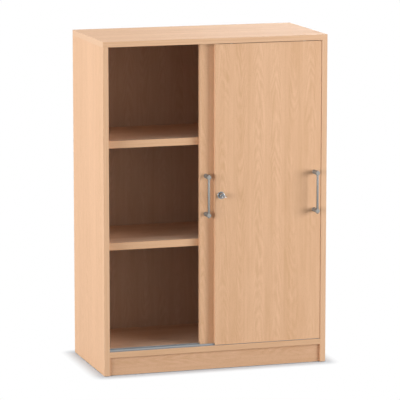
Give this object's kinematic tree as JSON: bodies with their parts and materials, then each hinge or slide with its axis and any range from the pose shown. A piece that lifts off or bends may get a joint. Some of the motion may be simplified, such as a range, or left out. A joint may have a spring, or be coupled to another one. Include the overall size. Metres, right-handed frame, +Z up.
{
  "type": "sliding door cabinet",
  "caption": "Beech-faced cabinet with doors that slide past each other, bar handles, a push lock with its key, shelves on pins and a set-back plinth.",
  "frame": {"origin": "middle of the bottom of the whole box, with the handles and the key counted in; the glides' undersides lie at height 0", "axes": "+X to the right seen from the front, +Y from the front to the back, +Z up; the doors face -Y"},
  "size_m": [0.8, 0.443, 1.152],
  "materials": {
    "beech_board": "chipboard faced with satin beech decor, edges banded to match",
    "dowel_wood": "raw ribbed beech dowel",
    "rail_aluminium": "natural anodised extrusion",
    "satin_nickel": "satin nickel plate",
    "plated_steel": "zinc plated",
    "lock_chrome": "polished chrome plate",
    "white_plastic": "moulded",
    "grey_plastic": "moulded or extruded"
  },
  "bodies": {
    "carcass": {"side_panel_left": "beech_board", "side_panel_right": "beech_board", "top_panel": "beech_board", "base_panel": "beech_board", "plinth_board": "beech_board", "back_panel": "beech_board", "shelf_lower": "beech_board", "shelf_upper": "beech_board", "glide_left_front": "white_plastic", "glide_left_rear": "white_plastic", "glide_right_front": "white_plastic", "glide_right_rear": "white_plastic", "dowel_top_left_front": "dowel_wood", "dowel_top_left_rear": "dowel_wood", "dowel_top_right_front": "dowel_wood", "dowel_top_right_rear": "dowel_wood", "dowel_base_left_front": "dowel_wood", "dowel_base_left_rear": "dowel_wood", "dowel_base_right_front": "dowel_wood", "dowel_base_right_rear": "dowel_wood", "shelf_pin_lower_left_front": "plated_steel", "shelf_pin_lower_left_rear": "plated_steel", "shelf_pin_lower_right_front": "plated_steel", "shelf_pin_lower_right_rear": "plated_steel", "shelf_pin_upper_left_front": "plated_steel", "shelf_pin_upper_left_rear": "plated_steel", "shelf_pin_upper_right_front": "plated_steel", "shelf_pin_upper_right_rear": "plated_steel", "lower_rail": "rail_aluminium", "upper_guide_rail": "grey_plastic", "rail_stop": "grey_plastic"},
    "rear_door": {"rear_door_panel": "beech_board", "rear_door_roller_housing_left": "white_plastic", "rear_door_roller_housing_right": "white_plastic", "rear_door_top_guide_left": "white_plastic", "rear_door_top_guide_right": "white_plastic", "rear_door_handle_bar": "satin_nickel", "rear_door_handle_post_upper": "satin_nickel", "rear_door_handle_post_lower": "satin_nickel", "rear_door_handle_screw_upper": "plated_steel", "rear_door_handle_screw_lower": "plated_steel"},
    "front_door": {"front_door_panel": "beech_board", "front_door_roller_housing_left": "white_plastic", "front_door_roller_housing_right": "white_plastic", "front_door_top_guide_left": "white_plastic", "front_door_top_guide_right": "white_plastic", "front_door_handle_bar": "satin_nickel", "front_door_handle_post_upper": "satin_nickel", "front_door_handle_post_lower": "satin_nickel", "front_door_handle_screw_upper": "plated_steel", "front_door_handle_screw_lower": "plated_steel", "lock_housing": "lock_chrome", "lock_spring": "plated_steel"},
    "rear_left_roller": {"rear_door_roller_left": "grey_plastic"},
    "rear_right_roller": {"rear_door_roller_right": "grey_plastic"},
    "front_left_roller": {"front_door_roller_left": "grey_plastic"},
    "front_right_roller": {"front_door_roller_right": "grey_plastic"},
    "lock_cylinder": {"lock_cylinder": "lock_chrome"},
    "key": {"lock_plug": "lock_chrome", "key": "lock_chrome"}
  },
  "joints": [
    {"name": "rear_door_slide", "type": "slide", "parent": "carcass", "child": "rear_door", "axis": [1, 0, 0], "range_m": [-0.33, 0]},
    {"name": "front_door_slide", "type": "slide", "parent": "carcass", "child": "front_door", "axis": [1, 0, 0], "range_m": [-0.019, 0]},
    {"name": "rear_left_roller_turn", "type": "hinge", "parent": "rear_door", "child": "rear_left_roller", "pos_m": [0.0095, -0.1445, 0.098], "axis": [0, 1, 0], "range_deg": [-2600, 5]},
    {"name": "rear_right_roller_turn", "type": "hinge", "parent": "rear_door", "child": "rear_right_roller", "pos_m": [0.273, -0.1445, 0.098], "axis": [0, 1, 0], "range_deg": [-2600, 5]},
    {"name": "front_left_roller_turn", "type": "hinge", "parent": "front_door", "child": "front_left_roller", "pos_m": [0.057, -0.167, 0.098], "axis": [0, 1, 0], "range_deg": [-160, 5]},
    {"name": "front_right_roller_turn", "type": "hinge", "parent": "front_door", "child": "front_right_roller", "pos_m": [0.3205, -0.167, 0.098], "axis": [0, 1, 0], "range_deg": [-160, 5]},
    {"name": "lock_push", "type": "slide", "parent": "front_door", "child": "lock_cylinder", "axis": [0, 1, 0], "range_m": [0, 0.0035], "stiffness_N_per_m": 400},
    {"name": "key_turn", "type": "hinge", "parent": "lock_cylinder", "child": "key", "pos_m": [0.0175, -0.1965, 0.61], "axis": [0, 1, 0], "range_deg": [0, 90]}
  ],
  "couplings": [
    {"joint": "rear_left_roller_turn", "follows": "rear_door_slide", "rad_per_m": 133.33},
    {"joint": "rear_right_roller_turn", "follows": "rear_door_slide", "rad_per_m": 133.33},
    {"joint": "front_left_roller_turn", "follows": "front_door_slide", "rad_per_m": 133.33},
    {"joint": "front_right_roller_turn", "follows": "front_door_slide", "rad_per_m": 133.33}
  ]
}
